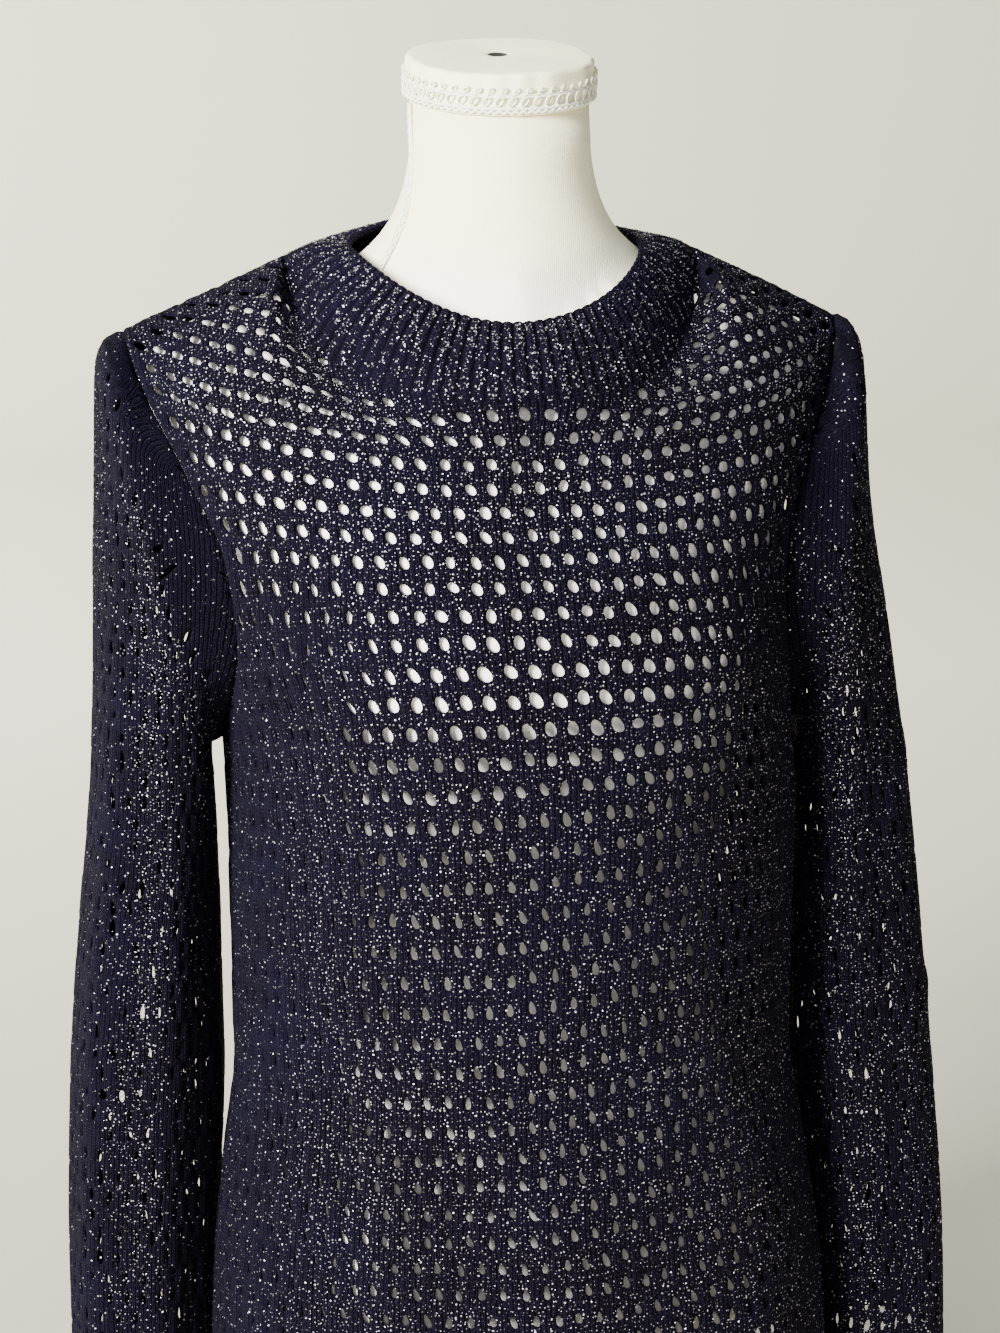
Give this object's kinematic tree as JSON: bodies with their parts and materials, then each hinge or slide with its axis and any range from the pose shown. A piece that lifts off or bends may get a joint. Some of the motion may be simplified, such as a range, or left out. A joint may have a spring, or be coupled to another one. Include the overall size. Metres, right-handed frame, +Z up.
{
  "type": "crochet sweater on a limbless dress form",
  "caption": "Open-mesh long-sleeved pullover with a wide ribbed crew neckband, hanging on a limbless dress form on a round stand.",
  "frame": {"origin": "centre of the round base's underside, on the floor", "axes": "+Z up, the garment's front faces -Y, +X is toward the wearer's left"},
  "size_m": [0.5421, 0.3, 0.9507],
  "materials": {
    "sweater_front": "navy knit with metallic flecks",
    "sweater_back": "navy knit with metallic flecks",
    "sleeve_left": "navy knit with metallic flecks",
    "sleeve_right": "navy knit with metallic flecks",
    "neckband": "navy ribbed knit with metallic flecks",
    "form_torso": "ivory cloth stretched over a moulded form",
    "form_cap": "ivory cloth over a flat neck cap",
    "stand_pole": "plain turned wood",
    "stand_base": "plain turned wood"
  },
  "bodies": {
    "root": {"sweater_front": "sweater_front", "sweater_back": "sweater_back", "sleeve_left": "sleeve_left", "sleeve_right": "sleeve_right", "neckband": "neckband", "form_torso": "form_torso", "form_cap": "form_cap", "stand_pole": "stand_pole", "stand_base": "stand_base"}
  },
  "joints": []
}
